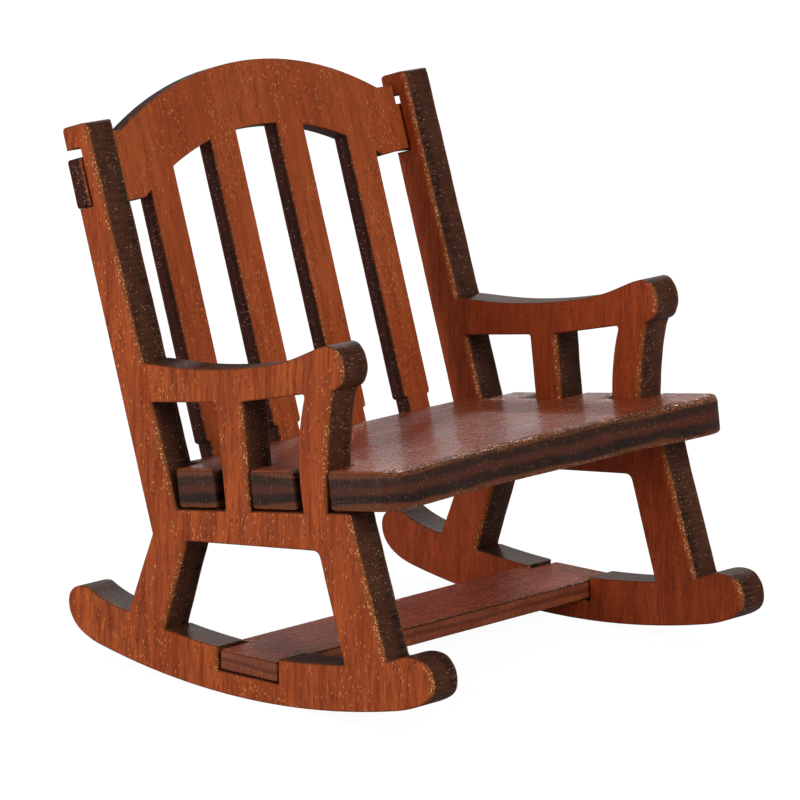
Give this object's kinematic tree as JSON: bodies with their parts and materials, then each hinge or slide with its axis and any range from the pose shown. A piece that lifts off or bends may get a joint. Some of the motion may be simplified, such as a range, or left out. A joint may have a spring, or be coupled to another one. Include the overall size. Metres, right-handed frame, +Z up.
{
  "type": "miniature rocking chair",
  "caption": "Dolls' house rocking chair of flat glued plywood boards: two one-piece side frames on curved rockers, a slatted back, a seat board and a foot stretcher.",
  "frame": {"origin": "middle of the chair's outer box at floor level, under the rockers", "axes": "the chair faces -Y, +X runs across it to the sitter's left, +Z is up"},
  "size_m": [0.077, 0.0788, 0.0881],
  "materials": {
    "side_frame_right": "red-brown stain under satin varnish, charred edges",
    "side_frame_left": "red-brown stain under satin varnish, charred edges",
    "back_panel": "red-brown stain under satin varnish, charred edges",
    "seat_board": "red-brown stain under glossy varnish, dark ply edges",
    "foot_stretcher": "red-brown stain under glossy varnish, dark ply edges"
  },
  "bodies": {
    "root": {"side_frame_right": "side_frame_right", "side_frame_left": "side_frame_left", "back_panel": "back_panel", "seat_board": "seat_board", "foot_stretcher": "foot_stretcher"}
  },
  "joints": []
}
